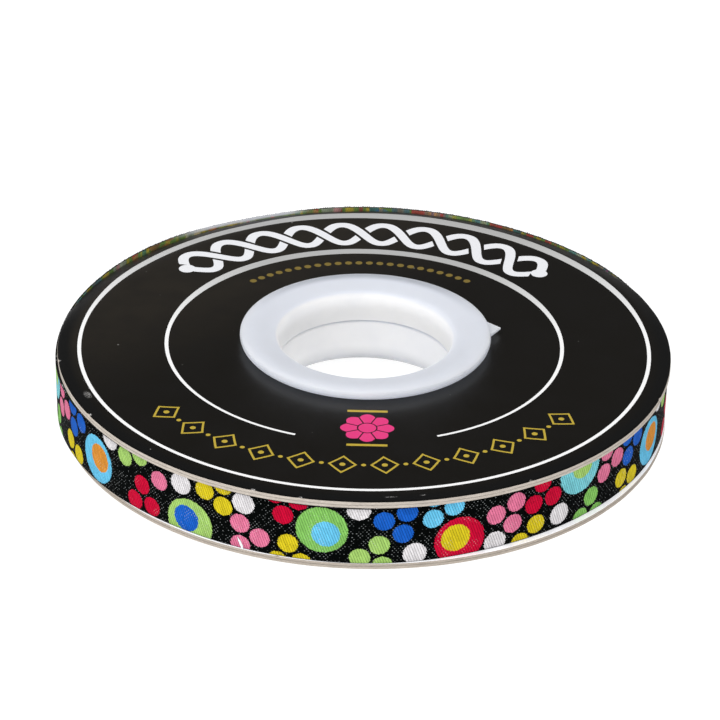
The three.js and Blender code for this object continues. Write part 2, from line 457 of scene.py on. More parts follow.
def ornaments(w, colour, place, radius, azimuth):
    # a broad twist behind, with round ends
    twist = prints["twist"]
    ends = 0.0
    for azimuthAt in (twist["From"], twist["To"]):
        end = polar(azimuthAt, twist["Middle"], levels["upperFace"])
        ends = (w.distance(place, end) < prints["twistEnd"]) | ends
    strands = w.group(twistedStrands, Radius=radius, Azimuth=azimuth, **twist)["Mask"]
    colour = w.blend(strands | ends, colour, boardTones["white"])
    # fine gold lozenges and dots in front
    row = prints["lozenges"]
    off, away, inside = ringCells(w, radius, azimuth, row)
    off, away = abs(off), abs(away)
    slant = row["long"] * row["high"] / math.hypot(row["long"], row["high"])
    side = off / row["long"] + away / row["high"]
    line = abs(side - 1.0) < row["line"] / 2 / slant
    dot = ((w.reach(off - row["pitch"] / 2, away) < row["dotBetween"])
           | (w.reach(off, away) < row["dot"]))
    colour = w.blend((line | dot) * inside, colour, boardTones["gold"])
    # gold beads along a circle
    off, away, inside = ringCells(w, radius, azimuth, prints["beads"])
    bead = w.reach(off, away) < prints["beads"]["radius"]
    colour = w.blend(bead * inside, colour, boardTones["dullGold"])
    # a plain rosette between two gold bars
    rosette = prints["rosette"]
    x, y, z = w.split(w.vector("SUBTRACT", place, polar(rosette["azimuth"], rosette["radius"], 0)))
    reach = w.calc("SQRT", x * x + y * y)
    lobes = abs(w.calc("COSINE", w.calc("ARCTAN2", y, x) * 4.0))
    petals = reach < w.line(lobes, 0.0, 1.0, rosette["waist"], 1.0) * rosette["petal"]
    between = (lobes * reach < rosette["petalLine"]) * (reach > rosette["eye"])
    eye = abs(reach - rosette["eye"]) < rosette["eyeLine"]
    barLong, barHigh = rosette["barHalf"]
    bar = (abs(abs(y) - rosette["barAway"]) < barHigh) * (abs(x) < barLong)
    colour = w.blend(petals * (1.0 - (between | eye)), colour, boardTones["pink"])
    return w.blend(bar, colour, boardTones["gold"])


def makePrintedFace():
    w = newMaterial("printedCard")
    at = w.group(polarPlace)
    radius, azimuth = at["Radius"], at["Azimuth"]
    sine = w.calc("SINE", w.calc("RADIANS", azimuth))
    place = w.place()
    mottle = w.noise(place, 0.12, 3)
    # black ink, a little mottled and denser towards the rim; painted reflection lightens it towards the
    # back left
    farLeft = w.vector("DOT_PRODUCT", place, (-0.6, 0.8, 0.0), output=1)
    ink = w.blend(w.ramp(farLeft, 5.0, 45.0), boardTones["ink"], boardTones["inkBehind"])
    ink = w.blend(w.ramp(mottle, 0.35, 0.75) * 0.4, ink, boardTones["inkCloud"])
    # painted reflection lightens the rim band behind
    rim = w.blend(w.ramp(sine, 0.1, 0.7), boardTones["inkAtRim"], boardTones["rimBehind"])
    colour = w.blend(w.ramp(radius, 62.9, 65.0), ink, rim)
    # the two plain circles, the inner one with a gap
    paper = w.blend(w.line(sine, 0.1, 0.85), boardTones["ringFront"], boardTones["ringBack"])
    start, end = prints["innerGap"]
    inner = ringMask(w, radius, sine, prints["innerRing"]) * (1.0 - (azimuth > start) * (azimuth < end))
    outer = ringMask(w, radius, sine, prints["outerRing"])
    colour = w.blend(outer | inner, colour, paper)
    colour = ornaments(w, colour, place, radius, azimuth)
    # lint, scuffs and two short scratches
    dust = w.group(dustSpecks, Place=place, Spacing=3.6, Size=0.26, Share=0.22)["Mask"]
    colour = w.blend(dust * 0.35, colour, boardTones["dust"])
    rough = w.noise(place, 5.0, 3, 0.6)
    for scuffAzimuth, scuffRadius, long, wide, strength in prints["scuffs"]:
        along = (azimuth - scuffAzimuth) * (math.radians(scuffRadius) / long)
        near = w.ramp(w.reach(along, (radius - scuffRadius) / wide), 0.5, 1.0, 1.0, 0.0)
        colour = w.blend(near * w.ramp(rough, 0.46, 0.58) * strength, colour, boardTones["scuff"])
    return w.finish({"Base Color": colour, "Roughness": w.ramp(mottle, 0.2, 0.8, 0.34, 0.42),
        "Normal": w.bump(w.noise(place, 2.2, 2), 0.10, 0.04)})


def makeBoardEdge():
    w = newMaterial("cutGreyBoard")
    arc, height = w.map("edgeMap")
    z = w.split(w.place())[2]
    tone = w.blend(w.ramp(z, 4.0, 14.0), boardTones["lowerEdge"], boardTones["edge"])
    edge = w.group(cutBoardEdge, Arc=arc, Height=height, Thickness=boards["thickness"], Tone=tone)
    return w.finish({"Base Color": edge["Colour"], "Roughness": 0.9, "Specular IOR Level": 0.2,
        "Normal": w.bump(edge["Relief"], 0.5, 0.08)})


def makePaper(name, tone, speckShare, glow):
    # the glow stands in for light through thin paper
    w = newMaterial(name)
    place = w.place()
    cloud = w.ramp(w.noise(place, 0.25, 4), 0.3, 0.8, 0.0, 0.10)
    specks = w.group(dustSpecks, Place=place, Spacing=2.2, Size=0.3, Share=speckShare)["Mask"]
    colour = w.layers(tone, (cloud, boardTones["paperCloud"]), (specks * 0.4, boardTones["paperSpeck"]))
    return w.finish({"Base Color": colour, "Roughness": 0.6, "Emission Color": tone,
        "Emission Strength": glow, "Normal": w.bump(w.noise(place, 3.0, 3), 0.25, 0.03)})


printedFace = makePrintedFace()
boardEdge = makeBoardEdge()
liner = makePaper("whiteLiner", boardTones["liner"], 0.04, 0.36)
underside = makePaper("boardUnderside", boardTones["underside"], 0.30, 0.0)
print("board materials ready")


def buildBoards():
    # 0 under face, 1 cut side and the wall of the hole, 2 top face
    slots = [0] * 10 + [1] * 6 + [2] * 11 + [1]
    arcPerDegree = math.radians(1) * boards["radius"]
    for half, slot, faces in (("upper", "printed_board", [liner, boardEdge, printedFace]),
            ("lower", "plain_board", [underside, boardEdge, liner])):
        board, name = boards[half], f"{half}_board_card"
        mesh = ringMesh(name, boards["columns"], lambda azimuth: boardSection(azimuth, board),
            slots, arcPerDegree)
        mesh.transform(Matrix.Translation((board["shift"] * mm, 0, 0)))
        piece = placeMesh(name, mesh, faces)
        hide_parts(f"{half}_board")
        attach(piece, "root")


buildBoards()
print("boards built")


# the core

core = {
    "shift": 0.2,
    "boreRadius": 18.9,
    "lowerBoreRadius": 19.1,
    "spigotRadius": 19.9,
    "socketRadius": 20.2,
    "tubeRadius": 21.3,
    "clearance": 0.3,
    "lap": 3.7,
    "upperSoftening": 0.15,
    "lowerSoftening": 0.12,
    "columns": 192,
    # the upper lip's outside: radius, and height over the printed face
    "lip": [(25.8, 0.3), (26.85, 0.55), (27.2, 1.05), (27.36, 1.6), (27.34, 2.02), (27.18, 2.36),
            (26.8, 2.58), (26.2, 2.7), (25.2, 2.74), (24.2, 2.66), (23.0, 2.44), (21.6, 2.16)],
    "lipRounding": 1.6,
    "foot": {"inner": 24.6, "outer": 26.4, "rounding": 0.6, "flare": 2.5, "flareHeight": 4.19},
    "tab": {"tip": 30.0, "root": 26.4, "azimuth": 9.0, "halfWidth": 9.0, "base": 18.05, "top": 18.95,
            "thinning": 0.22, "inside": 0.6, "steps": 10},
}

# the lip's darker tone behind and the foot's grey are painted shade
coreTones = tones(
    bore=(245, 245, 246), lip=(222, 226, 237), lipBehind=(168, 172, 180), foot=(164, 165, 167),
    cloud=(216, 219, 228), speck=(150, 150, 150), glow=(138, 142, 150),
)


def arcRows(centre, radius, start, end, steps):
    rows = []
    for step in range(steps + 1):
        a = math.radians(start + (end - start) * step / steps)
        rows.append((centre[0] + radius * math.cos(a), centre[1] + radius * math.sin(a)))
    return rows


def softened(rows, reach, steps=3):
    # each sharp corner rounded by a short curve
    result = []
    for index, row in enumerate(rows):
        here = Vector(row)
        toBefore, toAfter = Vector(rows[index - 1]) - here, Vector(rows[(index + 1) % len(rows)]) - here
        if math.degrees(toBefore.angle(-toAfter)) < 35:
            result.append(row)
            continue
        cut = min(reach, toBefore.length * 0.4, toAfter.length * 0.4)
        start = here + toBefore.normalized() * cut
        end = here + toAfter.normalized() * cut
        for step in range(steps + 1):
            t = step / steps
            point = start * (1 - t) ** 2 + here * 2 * t * (1 - t) + end * t * t
            result.append((point.x, point.y))
    return result


def upperCoreRows():
    face, seam, bore, tube = levels["upperFace"], levels["seam"], core["boreRadius"], core["tubeRadius"]
    lap, rounding, spigot = seam + core["lap"], core["lipRounding"], core["spigotRadius"]
    rows = [(bore + 0.5, seam), (spigot, seam), (spigot, lap), (tube, lap),
            (tube, face + core["clearance"])]
    rows += [(radius, face + height) for radius, height in core["lip"]]
    rows += arcRows((bore + rounding, face + core["clearance"]), rounding, 100.5, 180, 10)
    rows += [(bore, face - 2.0), (bore, seam + 0.4)]
    return softened(rows, core["upperSoftening"])


def lowerCoreRows():
    foot, bore, tube = core["foot"], core["lowerBoreRadius"], core["tubeRadius"]
    socket, end = core["socketRadius"], levels["seam"] - 0.1
    lap = levels["seam"] + core["lap"] - core["clearance"]
    rows = [(foot["inner"], 0.0), (foot["outer"], 0.0)]
    rows += arcRows((foot["outer"], foot["rounding"]), foot["rounding"], -60, 90, 8)
    rows += [(tube, 2 * foot["rounding"]), (tube, lap), (socket, lap), (socket, end),
             (bore + 0.45, end), (bore, levels["seam"] - 0.45)]
    rows += arcRows((bore + foot["flare"], foot["flareHeight"]), foot["flare"], 180, 244.5, 10)
    return softened(rows, core["lowerSoftening"])


def makeMilkyPlastic():
    w = newMaterial("milkyPlastic")
    place = w.place()
    at = w.group(polarPlace)
    radius = at["Radius"]
    flow = w.streaks(3, at["Azimuth"] * 0.55, radius * 0.25, 1.0)
    x, y, z = w.split(place)
    face = levels["upperFace"]
    # the bore is whitest; painted shade makes the lip duller behind and the foot greyer
    behind = w.ramp(y / radius, 0.2, 1.0) * w.ramp(radius, 23.5, 25.6)
    specks = w.group(dustSpecks, Place=place, Spacing=4.5, Size=0.22, Share=0.15)["Mask"]
    colour = w.layers(coreTones["bore"], (w.ramp(radius, 18.95, 19.7), coreTones["lip"]),
        (behind * 0.8, coreTones["lipBehind"]), (w.ramp(z, 1.0, 6.2, 1.0, 0.0), coreTones["foot"]),
        (w.ramp(w.noise(place, 0.16, 3), 0.3, 0.75, 0.0, 0.2), coreTones["cloud"]),
        (specks * 0.25, coreTones["speck"]))
    # painted glow: an emission stands in for light through the lip, leaving its underside and rim
    # bright
    under = (w.ramp(z, face + 0.5, face + 1.3, 1.0, 0.0)
             * (w.ramp(radius, 21.6, 23.0) * w.ramp(z, face - 1.3, face - 0.3)))
    rim = w.ramp(radius, 26.6, 27.15) * w.ramp(z, face + 1.2, face + 2.2, 0.6, 0.0)
    glow = w.blend(under | rim, (0.0, 0.0, 0.0, 1.0), coreTones["glow"])
    return w.finish({"Base Color": colour, "Roughness": w.ramp(flow, 0.3, 0.7, 0.30, 0.42),
        "Subsurface Weight": 0.85, "Subsurface Radius": (0.95, 0.97, 1.0), "Subsurface Scale": 4 * mm,
        "IOR": 1.49, "Emission Color": glow, "Emission Strength": 1.0,
        "Normal": w.bump(flow, 0.08, 0.1)})


def tabMesh():
    # a thin pointed flake of flash left at the gate
    tab = core["tab"]
    outline = []
    for step in range(tab["steps"] + 1):
        off = tab["halfWidth"] * (2 * step / tab["steps"] - 1)
        side = 1 - abs(off) / tab["halfWidth"]
        outline.append((tab["azimuth"] + off, tab["root"] + (tab["tip"] - tab["root"]) * side ** 1.15))
    outline += [(a, tab["root"] - tab["inside"]) for a, r in reversed(outline)]
    rings = []
    for height, way in ((tab["base"], 1), (tab["top"], -1)):
        rings.append([polar(a, r, height + way * smooth(r, tab["root"], tab["tip"]) * tab["thinning"])
            for a, r in outline])
    return loftMesh("core_flash", rings)


def buildCore():
    plastic = makeMilkyPlastic()
    for name, rows, node in (("core_top_half", upperCoreRows(), "core_upper"),
            ("core_bottom_half", lowerCoreRows(), "core_lower"), ("core_flash", None, None)):
        if rows:
            section = [(r, z, z) for r, z in rows]
            mesh = ringMesh(name, core["columns"], lambda azimuth: section, arcPerDegree=0.4)
        else:
            mesh = tabMesh()
        mesh.transform(Matrix.Translation((core["shift"] * mm, 0, 0)))
        piece = placeMesh(name, mesh, [plastic])
        if node:
            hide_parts(node)
        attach(piece, "root")


buildCore()
print("core built")


# the ribbon's woven pattern

weave = {
    "repeat": 142.0,
    "width": 12.8,
    "ribPitch": 0.56,
    "ribLean": 0.36,
    "ribToneRun": 1.6,
    "pickPitch": 0.21,
    "speckPitch": 0.80,
    "speckRow": 0.45,
    "speckShift": 0.36,
    "speckRadius": (0.09, 0.17),
    "dotRadius": 2.15,
    "trioReach": 2.85,
    # how dark the cloth gets between ribs and between picks, and how far ribs differ
    "ribShade": (0.0, 0.75, 0.56, 1.05),
    "ribTone": (0.0, 1.0, 0.88, 1.06),
    "pickShade": (0.0, 0.6, 0.84, 1.01),
    "paleSpecks": 0.38,
}

yarns = tones(
    black=(4, 6, 6), pink=(220, 116, 150), yellow=(210, 191, 34), lime=(160, 200, 106),
    green=(128, 189, 94), blue=(26, 92, 190), sky=(102, 192, 230), aqua=(120, 200, 210),
    red=(196, 12, 52), white=(220, 217, 219), orange=(215, 142, 54), groundSpeck=(190, 196, 196),
)

# along, across, radius, yarn, inner yarn, inner offset along and across, inner radius
roundSpots = [
    (8.0, 7.4, 5.3, "green", "sky", 0.8, -0.9, 2.9),
    (36.2, 3.6, 5.4, "red", "yellow", -0.9, 0.7, 3.1),
    (65.4, 11.8, 5.7, "aqua", "lime", 0.6, 0.5, 2.9),
    (93.2, 5.6, 5.4, "sky", "orange", 0.9, 0.6, 3.2),
    (121.0, 2.2, 5.5, "lime", "blue", -0.8, 0.8, 3.0),
]

# along, across, turn, yarn
trios = [
    (0.5, 12.6, 20, "red"), (1.3, 0.4, 94, "yellow"), (18.5, 1.7, 68, "lime"), (23.3, 9.5, 51, "blue"),
    (32.0, 12.0, 117, "sky"), (47.0, 7.3, 52, "pink"), (52.8, 0.1, 70, "yellow"),
    (55.4, 9.3, 95, "red"), (68.7, 0.9, 82, "green"), (74.8, 9.8, 111, "pink"),
    (81.6, 1.3, 14, "yellow"), (83.2, 10.2, 6, "blue"),
    (104.9, 13.2, 113, "lime"), (108.5, 3.5, 94, "red"), (127.6, 11.2, 60, "yellow"),
    (134.3, 3.3, 1, "pink"),
]

# along, across, radius, yarn
singles = [(along, across, 2.45, "white") for along, across in (
    (26.8, 1.9), (44.1, 1.3), (59.9, 3.1), (118.9, 10.8), (133.6, 10.7), (98.2, 12.8), (15.4, 12.6))]
singles.append((113.2, 9.3, 2.15, "pink"))


def motifList():
    # every round shape of the repeat, big ones first
    shapes = []
    for along, across, radius, yarn, innerYarn, offAlong, offAcross, innerRadius in roundSpots:
        shapes += [(along, across, radius, yarn),
                   (along + offAlong, across + offAcross, innerRadius, innerYarn)]
    for along, across, turn, yarn in trios:
        for third in range(3):
            a = math.radians(turn + 120 * third)
            shapes.append((along + weave["trioReach"] * math.cos(a),
                across + weave["trioReach"] * math.sin(a), weave["dotRadius"], yarn))
    return [(along + shift, across, radius, yarn) for along, across, radius, yarn in shapes + singles
        if across - radius <= weave["width"] and across + radius >= 0
        for shift in (-weave["repeat"], 0, weave["repeat"])
        if -radius < along + shift < weave["repeat"] + radius]


def makeThreadGrid():
    # where each thread is, and how it stands
    w, given = newGroup("threadGrid", {"Along": 0.0, "Across": 0.0}, {"Snapped": "Vector",
        "Rib": "Float", "RibTone": "Float", "Speck": "Float", "Pick": "Float"})

    def floor(value):
        return w.calc("FLOOR", value)

    def hump(value):
        return abs(w.calc("SINE", value * math.pi))

    along, across = given["Along"], given["Across"]
    half, pick = weave["ribPitch"] / 2, weave["pickPitch"]
    leaning = along + across * weave["ribLean"]
    column = floor(leaning / half)
    stagger = column % 2.0 * 0.5
    rowAt = across / pick + stagger
    snappedAcross = (floor(rowAt) + 0.5 - stagger) * pick
    snappedAlong = (column + 0.5) * half - across * weave["ribLean"]
    snapped = w.join((snappedAlong + 10 * weave["repeat"]) % weave["repeat"], snappedAcross)
    # a rounded rib over each pair of columns
    ribAt = leaning / weave["ribPitch"]
    # binding points in a twill: each row a little further on
    pitch, high = weave["speckPitch"], weave["speckRow"]
    speckRow = floor(across / high)
    speckAt = (along + speckRow * weave["speckShift"]) / pitch
    inCell = (w.calc("FRACT", speckAt) - 0.5) * pitch
    inRow = (w.calc("FRACT", across / high) - 0.5) * high
    speck = w.ramp(w.reach(inCell, inRow * 1.2), *weave["speckRadius"], 1.0, 0.0)
    seen = w.line(w.chance(floor(speckAt), speckRow), 0.15, 1.0)
    return w.finish({"Snapped": snapped, "Rib": hump(ribAt), "Speck": speck * seen, "Pick": hump(rowAt),
        "RibTone": w.chance(floor(ribAt), floor(across / weave["ribToneRun"]))})


def makeSpot():
    # one round motif laid over what is under it
    w, given = newGroup("roundMotif", {"Place": "Vector", "Middle": "Vector", "Radius": 2.0,
        "Yarn": "Color", "Under": "Color", "Covered": 0.0}, {"Colour": "Color", "Covered": "Float"})
    inside = w.distance(given["Place"], given["Middle"]) < given["Radius"]
    return w.finish({"Colour": w.blend(inside, given["Under"], given["Yarn"]),
        "Covered": inside | given["Covered"]})


def makePattern():
    # the whole repeat, from a snapped place
    w, given = newGroup("dotRepeat", {"Place": "Vector"}, {"Colour": "Color", "Covered": "Float"})
    spot = makeSpot()
    colour, covered = yarns["black"], 0.0
    for along, across, radius, yarn in motifList():
        out = w.group(spot, Place=given["Place"], Middle=(along, across, 0.0), Radius=radius,
            Yarn=yarns[yarn], Under=colour, Covered=covered)
        colour, covered = out["Colour"], out["Covered"]
    return w.finish({"Colour": colour, "Covered": covered})


threadGrid = makeThreadGrid()
dotRepeat = makePattern()


def woven(w):
    along, across = w.map("weaveMap")
    grid = w.group(threadGrid, Along=along, Across=across)
    return along, across, grid, w.group(dotRepeat, Place=grid["Snapped"])


def makeRibbonFace():
    w = newMaterial("jacquardFace")
    along, across, grid, pattern = woven(w)
    covered, rib = pattern["Covered"], grid["Rib"]
    # the yarn, darker between ribs, each rib a little different
    shade = w.ramp(rib, *weave["ribShade"]) * w.ramp(grid["RibTone"], *weave["ribTone"])
    yarn = w.scaled(pattern["Colour"], shade * w.ramp(grid["Pick"], *weave["pickShade"]))
    # binding points, dark or pale in the motifs and pale in the ground
    patch = w.streaks(1, along * 0.16, across * 0.16)
    bound = grid["Speck"] * covered
    pale = w.ramp(grid["Speck"], 0.2, 1.0) * (1.0 - covered)
    edge = (w.ramp(across, 0.05, 0.2, 1.0, 0.0)
            | w.ramp(across, weave["width"] - 0.2, weave["width"] - 0.05))
    colour = w.layers(yarn, (bound * w.ramp(patch, 0.5, 0.62, 0.0, 0.5), yarns["black"]),
        (bound * w.ramp(patch, 0.36, 0.48, 0.42, 0.0), yarns["white"]),
        (pale * weave["paleSpecks"], yarns["groundSpeck"]), (edge * 0.7, yarns["black"]))
    height = rib * w.ramp(covered, 0.0, 1.0, 0.45, 1.0) + grid["Pick"] * 0.25 + covered * 0.5
    return w.finish({"Base Color": colour, "Roughness": w.ramp(covered, 0.0, 1.0, 0.62, 0.50),
        "Specular IOR Level": 0.01, "Normal": w.bump(height, 1.0, 0.08)})


# the azimuths between which the last turn's top edge gets a pale painted highlight
highlightAzimuths = {"from": (101.0, 107.0), "to": (122.0, 134.0)}

clothTones = {
    "ground": (tint(78, 68, 40), tint(60, 60, 56)),
    "floats": (tint(198, 176, 40), tint(106, 144, 54)),
    "warmFloats": tint(200, 72, 52),
    "coolFloats": tint(58, 122, 114),
    # the pale painted highlight on the last turn's top edge
    "paintedHighlight": tint(214, 216, 224),
    "selvedge": (tint(14, 14, 16), tint(74, 72, 72)),
    "loops": (tint(16, 17, 18), tint(206, 208, 210)),
    "packed": (tint(18, 18, 20), tint(70, 66, 66)),
}


# where the last turn carries a pale painted highlight
def highlightSpan(w):
    azimuth = w.group(polarPlace)["Azimuth"]
    return w.ramp(azimuth, *highlightAzimuths["from"]) * w.ramp(azimuth, *highlightAzimuths["to"], 1.0, 0.0)


def makeRibbonReverse():
    # the back of the weave: black with muted yarn floats
    w = newMaterial("jacquardReverse")
    along, across, grid, pattern = woven(w)
    floats = w.streaks(2, along * 0.5, across * 9.0)
    mixed = w.streaks(2, along * 0.07, across * 2.5, 5.0)
    short = w.streaks(1, along * 0.42, 3.0)
    hue = w.streaks(1, along * 0.20, 4.0)
    ground = w.blend(w.ramp(mixed, 0.35, 0.65), *clothTones["ground"])
    # bundles of floating yarn change colour along the strip
    bundle = w.layers(w.blend(w.ramp(hue, 0.45, 0.50), *clothTones["floats"]),
        (w.ramp(hue, 0.56, 0.59), clothTones["warmFloats"]),
        (w.ramp(hue, 0.37, 0.40, 1.0, 0.0), clothTones["coolFloats"]),
        (pattern["Covered"] * 0.4, pattern["Colour"]))
    share = w.ramp(across, weave["width"] - 2.8, weave["width"] - 0.7, 0.15, 0.9)
    colour = w.blend(share * w.ramp(short, 0.3, 0.6, 0.55, 1.0), ground, bundle)
    shade = w.ramp(floats, 0.3, 0.7, 0.5, 1.0) * w.ramp(grid["Rib"], 0.0, 0.8, 0.7, 1.0)
    # a pale painted highlight along part of the last turn's top edge
    paintedHighlight = highlightSpan(w) * w.ramp(across, weave["width"] - 0.85, weave["width"] - 0.2, 0.0, 0.9)
    tone = w.blend(paintedHighlight, w.scaled(colour, shade), clothTones["paintedHighlight"])
    return w.finish({"Base Color": tone, "Roughness": 0.7, "Normal": w.bump(floats, 0.6, 0.1)})


def makeSelvedge():
    w = newMaterial("blackSelvedge")
    fuzz = w.noise(w.place(), 4.0, 3)
    colour = w.blend(w.ramp(fuzz, 0.45, 0.75), *clothTones["selvedge"])
    # a pale painted highlight along part of the last turn
    colour = w.blend(highlightSpan(w) * 0.85, colour, clothTones["paintedHighlight"])
    return w.finish({"Base Color": colour, "Roughness": 0.75, "Normal": w.bump(fuzz, 0.5, 0.1)})


def makeLoopYarn():
    # dark loops with pale ones among them, and a pale painted highlight along part of the last turn
    w = newMaterial("loopYarn")
    place = w.place()
    share = w.ramp(w.noise(place, 0.30, 1), 0.46, 0.60) * w.ramp(w.noise(place, 1.7, 1), 0.45, 0.60)
    # a pale painted highlight along part of the last turn
    share = share | (highlightSpan(w) * 0.9)
    return w.finish({"Base Color": w.blend(share, *clothTones["loops"]), "Roughness": 0.8,
        "Specular IOR Level": 0.1})


def makePackedEdges():
    # fine rings, one for each wound turn
    w = newMaterial("woundEdges")
    at = w.group(polarPlace)
    turnAt = at["Radius"] / ribbon["packedPitch"]
    rings = abs(w.calc("SINE", turnAt * math.pi))
    ringTone = w.streaks(1, w.calc("FLOOR", turnAt), at["Azimuth"] * 0.08)
    colour = w.blend(w.ramp(ringTone, 0.45, 0.7), *clothTones["packed"])
    return w.finish({"Base Color": w.scaled(colour, w.ramp(rings, 0.0, 0.7, 0.3, 1.0)),
        "Roughness": 0.8, "Normal": w.bump(rings, 0.8, 0.15)})


# the wound ribbon

ribbon = {
    "thickness": 0.34,
    "turns": 3,
    "packedGap": 0.36,
    "packedPitch": 0.38,
    "packedColumns": 180,
    "packedOuter": 64.0,
    "packedRounding": 0.15,
    "packedRadii": (62.5, 61.0, 59.5, 57.5, 40.0),
    "bore": 21.9,
    "loosest": 66.2,
    "step": 0.8,
    "columnStep": 0.9,
    "rows": 9,
    "ripple": 0.12,
    "loops": {"pitch": 0.53, "radius": 0.17, "thread": 0.06, "inset": 0.17, "seed": 5,
              "size": (0.6, 1.25)},
}

# the last turn, every 20 degrees from its cut end: its radius and how far it has ridden up
cutEnd = 14
radii = [67.4, 67.5, 67.6, 67.6, 67.5, 67.25, 67.5, 67.2, 67.1, 67.15, 66.5, 65.9, 66.1, 66.3, 65.3,
         65.2, 65.7, 66.3, 66.2]
rises = [0.0, 0.9, 1.0, 1.25, 1.3, 0.8, 0.9, 0.75, 0.35] + [0.0] * 10

ribbonFace = makeRibbonFace()
ribbonReverse = makeRibbonReverse()
selvedge = makeSelvedge()
loopYarn = makeLoopYarn()
packedEdges = makePackedEdges()
print("ribbon materials ready")


def splineAt(values, turned):
    # Catmull-Rom through evenly spaced values over one whole turn
    last = len(values) - 1
    at = min(last - 1e-9, max(0.0, turned / 360 * last))
    index = int(at)
    t = at - index
    before, here, after = values[max(0, index - 1)], values[index], values[index + 1]
    beyond = values[min(last, index + 2)]
    pull, push = (after - before) * 0.5, (beyond - here) * 0.5
    return ((2 * here - 2 * after + pull + push) * t ** 3
            + (-3 * here + 3 * after - 2 * pull - push) * t ** 2 + pull * t + here)


def windingAt(turned):
    # radius, base and height of the outer face, so many degrees from the cut end
    whole = int(turned // 360)
    into = turned - 360 * whole
    if whole == 0:
        base = levels["rollBase"] + max(0.0, splineAt(rises, into))
        return splineAt(radii, into), base, weave["width"]
    gap = ribbon["packedGap"]
    snug = min(splineAt(radii, into), ribbon["loosest"] + gap) - gap * whole
    start = radii[-1] - gap * (whole - 1)
    radius = start + (snug - start) * smooth(into, 0, 45)
    return radius, levels["rollBase"], weave["width"] - droopAt((cutEnd + into) % 360, radius)


def makePath():
    # each point's radius holds how much of the ribbon's width is left
    count = int(ribbon["turns"] * 360 / ribbon["step"]) + 1
    curve = bpy.data.curves.new("winding_path", "CURVE")
    curve.dimensions = "3D"
    spline = curve.splines.new("POLY")
    spline.points.add(count - 1)
    points = []
    for index in range(count):
        turned = min(index * ribbon["step"], ribbon["turns"] * 360 - 0.001)
        radius, base, room = windingAt(turned)
        points.append(polar(cutEnd + turned, radius - ribbon["thickness"] * 0.02, base) * mm)
        spline.points[index].co = (*points[-1], 1.0)
        spline.points[index].radius = room / weave["width"]
    length = sum((after - before).length for before, after in zip(points, points[1:]))
    return newObject("winding_path", curve), length


def newGeometryTree(name, inputs):
    # a modifier's tree that ends in Realize Instances and Set Material
    w, given, values = newTree("GeometryNodeTree", name, {"Geometry": "Geometry", **inputs},
        {"Geometry": "Geometry"})
    w.tree.is_modifier = True

    def finish(geometry, material):
        real = w.geometry("RealizeInstances", {"Geometry": geometry})
        painted = w.geometry("SetMaterial", {"Geometry": real, "Material": material})
        return w.finish({"Geometry": painted}), values

    return w, given, finish


def makeRibbonTree():
    # a strip of cloth swept along the winding, its weave map in millimetres
    w, given, finish = newGeometryTree("windRibbon", {"Width": weave["width"] * mm,
        "Column step": ribbon["columnStep"] * mm, "Rows": ribbon["rows"],
        "Ripple": ribbon["ripple"] * mm, "Face": ribbonFace})
    curve, width = given["Geometry"], given["Width"]
    length = w.geometry("CurveLength", {"Curve": curve}, "Length")
    columns = w.read("FunctionNodeFloatToInt", {0: length / given["Column step"]})
    grid = w.geometry("MeshGrid", {"Size X": length, "Size Y": width, "Vertices X": columns,
        "Vertices Y": given["Rows"]}, "Mesh")
    x, y, z = w.split(w.geometry("InputPosition", {}))
    along, across = x + length * 0.5, y + width * 0.5
    stored = w.geometry("StoreNamedAttribute", {"Geometry": grid, "Name": "weaveMap",
        "Value": w.join(along / mm, across / mm)}, "Geometry", data_type="FLOAT2", domain="CORNER")
    sample = w.add("GeometryNodeSampleCurve", {"Curves": curve, "Length": along,
        "Value": w.geometry("InputRadius", {})}, mode="LENGTH", data_type="FLOAT")
    left, position, tangent = w.named(sample, "Value", "Position", "Tangent")
    sideways = w.vector("CROSS_PRODUCT", tangent, (0.0, 0.0, 1.0))
    ripple = w.streaks(1, along * 90.0, across * 120.0, 3.0)
    lifted = w.vector("ADD", position, w.join(0.0, 0.0, across * left))
    place = w.vector("ADD", lifted, w.scaled(sideways, (ripple - 0.5) * given["Ripple"]))
    return finish(w.geometry("SetPosition", {"Geometry": stored, "Position": place}), given["Face"])


